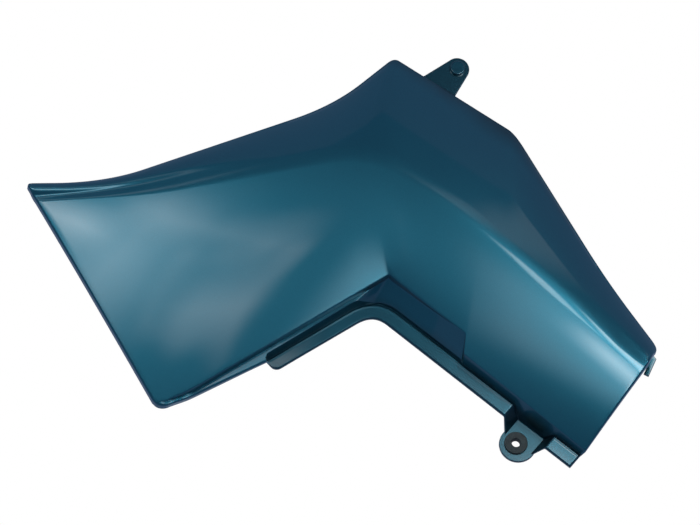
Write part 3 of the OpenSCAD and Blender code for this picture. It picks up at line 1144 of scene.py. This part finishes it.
@dataclass
class Studio:
    """Plain floor, white surroundings, screens that the paint reflects, and the camera.

    The screens stand around the cover. Those behind it leave an opening for the white world.
    """

    pixel: float = 0.0008
    origin_at: tuple[float, float] = (515.5, 443.0)
    picture: tuple[int, int] = (700, 525)
    lens: float = 800.0
    right: Point = field(default_factory=lambda: np.array([0.9952, -0.0976, 0.0]))
    upward: Point = field(default_factory=lambda: np.array([-0.0372, -0.3793, 0.9245]))
    screen_at: float = -0.6
    screen_rear: float = 1.6
    screen_low: float = -0.8
    screen_high: float = 1.0
    screen_end: float = 1.3
    opening_across: tuple[float, float] = (-0.6, 0.35)
    opening_height: tuple[float, float] = (-0.2, 0.5)
    shade: tuple[float, float, float, float] = (0.074, 0.153, 0.237, 1.0)
    overhead: tuple[float, float, float, float] = (0.156, 0.20, 0.312, 1.0)
    softboxes: tuple[Softbox, ...] = (
        Softbox(x=0.054, z=0.163, half_width=0.149, half_height=0.14, edge=0.091, level=1.02,
                tilt=-0.376),
        Softbox(x=0.107, z=0.336, half_width=0.064, half_height=0.083, edge=0.048, level=4.58,
                tilt=-0.105),
        Softbox(x=-0.324, z=0.343, half_width=0.151, half_height=0.119, edge=0.148, level=3.4,
                tilt=0.97, cloud=0.25),
        Softbox(x=-0.407, z=0.425, half_width=0.047, half_height=0.112, edge=0.072, level=7.2,
                tilt=0.96),
        Softbox(x=-0.187, z=0.253, half_width=0.081, half_height=0.05, edge=0.054, level=1.5,
                tilt=-0.28, cloud=0.15),
        Softbox(x=0.235, z=0.307, half_width=0.066, half_height=0.167, edge=0.045, level=7.7,
                tilt=-0.43),
        Softbox(x=-0.204, z=0.271, half_width=0.068, half_height=0.092, edge=0.031, level=0.75,
                tilt=1.15, cloud=0.3),
        Softbox(x=-0.213, z=0.35, half_width=0.139, half_height=0.047, edge=0.074, level=2.1,
                tilt=-0.6, cloud=0.3),
        Softbox(x=0.107, z=0.139, half_width=0.053, half_height=0.109, edge=0.069, level=7.3,
                tilt=0.52),
        Softbox(x=0.326, z=0.754, half_width=0.082, half_height=0.4, edge=0.074, level=0.56,
                tilt=-0.81),
        Softbox(x=-0.45, z=0.755, half_width=0.203, half_height=0.127, edge=0.114, level=0.755,
                tilt=-0.24),
    )

    def camera(self) -> None:
        """Places the camera so that the photograph's frame falls where the photo has it."""
        data = bpy.data.cameras.new("camera")
        data.lens = self.lens
        data.sensor_width = 36.0
        width = self.picture[0] * self.pixel
        distance = width * self.lens / data.sensor_width
        right, up = unit(self.right), unit(self.upward)
        ahead = np.cross(up, right)
        low, high = (np.array(corner) for corner in cad_box)
        middle = float(ahead @ ((low + high) / 2))
        across = (self.picture[0] / 2 - self.origin_at[0]) * self.pixel
        height = (self.origin_at[1] - self.picture[1] / 2) * self.pixel
        place = right * across + up * height + ahead * (middle - distance)
        made = bpy.data.objects.new("camera", data)
        columns = [Vector(right), Vector(up), Vector(-ahead)]
        turn = Matrix([list(row) for row in zip(*columns)])
        made.matrix_world = Matrix.Translation(Vector(place)) @ turn.to_4x4()
        data.clip_end = 100.0
        bpy.context.scene.collection.objects.link(made)
        bpy.context.scene.camera = made

    @staticmethod
    def card(name: str, corners: Sequence[Sequence[float]], material: bpy.types.Material,
             only_reflected: bool) -> bpy.types.Object:
        """Makes a flat card of four corners that belongs to the stage.

        Args:
            name: Name of the card.
            corners: Its corners in metres, in order.
            material: What it is made of.
            only_reflected: True for a card that is seen in reflections and nowhere else.

        Returns:
            The card.
        """
        mesh = bpy.data.meshes.new(name)
        mesh.from_pydata(corners, [], [(0, 1, 2, 3)])
        mesh.materials.append(material)
        made = bpy.data.objects.new(name, mesh)
        bpy.context.scene.collection.objects.link(made)
        if only_reflected:
            made.visible_camera = False
            made.visible_diffuse = False
            made.visible_shadow = False
            made.visible_transmission = False
        return made

    def floor(self) -> None:
        """Lays a pale floor that can't be seen from below."""
        half = 6.0
        level = cad_box[0][2] - 0.03
        plan = [(-half, -half), (half, -half), (half, half), (-half, half)]
        corners = [(x, y, level) for x, y in plan]
        material = bpy.data.materials.new("floor")
        material.use_nodes = True
        graph = Graph(material.node_tree)
        pale = graph.node("ShaderNodeBsdfDiffuse", {}, {"Color": (0.86, 0.86, 0.86, 1.0)})
        clear = graph.node("ShaderNodeBsdfTransparent")
        under = graph.node("ShaderNodeNewGeometry").outputs["Backfacing"]
        shader = graph.node(
            "ShaderNodeMixShader", {}, {0: under, 1: pale.outputs[0], 2: clear.outputs[0]}
        )
        graph.node("ShaderNodeOutputMaterial", {}, {"Surface": shader.outputs[0]})
        self.card("floor", corners, material, False).visible_glossy = False

    @staticmethod
    def upright(y: float, across: tuple[float, float],
                height: tuple[float, float]) -> list[tuple[float, float, float]]:
        """Corners of a card that stands at a depth, from its spans along x and z."""
        (left, right), (low, high) = across, height
        return [(left, y, low), (right, y, low), (right, y, high), (left, y, high)]

    def screens(self) -> None:
        """Sets the grey screens and the softboxes that the clear coat reflects."""
        material = bpy.data.materials.new("front_screen")
        material.use_nodes = True
        graph = Graph(material.node_tree)
        place = graph.node("ShaderNodeTexCoord").outputs["Object"]
        axes = graph.node("ShaderNodeSeparateXYZ", {}, {0: place})
        across, height = Signal(graph, axes.outputs["X"]), Signal(graph, axes.outputs["Z"])
        cloud = graph.signal(
            "ShaderNodeTexNoise", {}, {"Vector": place, "Scale": 7.0, "Detail": 2.0}
        )
        light = sum((box.glow(across, height, cloud) for box in self.softboxes[1:]),
                    self.softboxes[0].glow(across, height, cloud))
        lit = graph.signal("ShaderNodeVectorMath", {"operation": "SCALE"},
                           {0: (1.0, 1.0, 1.0), "Scale": light})
        total = graph.signal("ShaderNodeVectorMath", {"operation": "ADD"},
                             {0: lit, 1: self.shade[:3]})
        glow = graph.node("ShaderNodeEmission", {}, {"Color": total})
        graph.node("ShaderNodeOutputMaterial", {}, {"Surface": glow.outputs[0]})
        y, rear, end = self.screen_at, self.screen_rear, self.screen_end
        low, high = self.screen_low, self.screen_high
        left, right = self.opening_across
        bottom, top = self.opening_height
        self.card("front_screen", self.upright(y, (-end, end), (low, high)), material, True)
        sides = {
            "top_screen": [(-end, y, high), (end, y, high), (end, rear, high), (-end, rear, high)],
            "low_screen": [(-end, y, low), (end, y, low), (end, rear, low), (-end, rear, low)],
            "left_screen": [(-end, y, low), (-end, y, high), (-end, rear, high), (-end, rear, low)],
            "right_screen": [(end, y, low), (end, y, high), (end, rear, high), (end, rear, low)],
            "behind_left": self.upright(rear, (-end, left), (low, high)),
            "behind_right": self.upright(rear, (right, end), (low, high)),
            "behind_below": self.upright(rear, (left, right), (low, bottom)),
            "behind_above": self.upright(rear, (left, right), (top, high)),
        }
        grey = bpy.data.materials.new("side_screen")
        grey.use_nodes = True
        graph = Graph(grey.node_tree)
        glow = graph.node("ShaderNodeEmission", {}, {"Color": self.overhead})
        graph.node("ShaderNodeOutputMaterial", {}, {"Surface": glow.outputs[0]})
        for name, corners in sides.items():
            self.card(name, corners, grey, True)

    def surroundings(self) -> None:
        """Makes the world white for the camera and in reflections, and grey as a light."""
        world = bpy.data.worlds.new("studio")
        bpy.context.scene.world = world
        world.use_nodes = True
        graph = Graph(world.node_tree)
        path = graph.node("ShaderNodeLightPath")
        seen = Signal(graph, path.outputs["Is Camera Ray"])
        seen = seen + Signal(graph, path.outputs["Is Glossy Ray"])
        seen = seen + Signal(graph, path.outputs["Is Transmission Ray"])
        strength = 0.55 + seen * 0.45
        back = graph.node(
            "ShaderNodeBackground", {}, {"Color": (1.0, 1.0, 1.0, 1.0), "Strength": strength}
        )
        graph.node("ShaderNodeOutputWorld", {}, {"Surface": back.outputs[0]})

    def lamp(self) -> None:
        """Hangs one large soft lamp above the front, which the paint doesn't reflect."""
        data = bpy.data.lights.new("key", "AREA")
        data.shape = "RECTANGLE"
        data.size, data.size_y = 1.2, 0.8
        data.energy = 14.0
        made = bpy.data.objects.new("key", data)
        aim = Vector((-0.14, 0.0, 0.12))
        made.location = Vector((-0.7, -1.3, 1.3))
        made.rotation_euler = (aim - made.location).to_track_quat("-Z", "Y").to_euler()
        made.visible_glossy = False
        bpy.context.scene.collection.objects.link(made)

    def build(self) -> None:
        """Sets up the whole studio."""
        bpy.context.scene.view_settings.view_transform = "Standard"
        self.camera()
        self.floor()
        self.screens()
        self.surroundings()
        self.lamp()


def main() -> None:
    """Builds the part and the studio, and reports each piece."""
    logging.basicConfig(level=logging.INFO)
    cover = Moulding().build(MetallicPaint())
    LOG.info("%s has %d faces", cover.name, len(cover.data.polygons))
    grommet = Grommet().build(MouldedRubber())
    LOG.info("%s has %d faces", grommet.name, len(grommet.data.polygons))
    Studio().build()


if __name__ == "__main__":
    main()
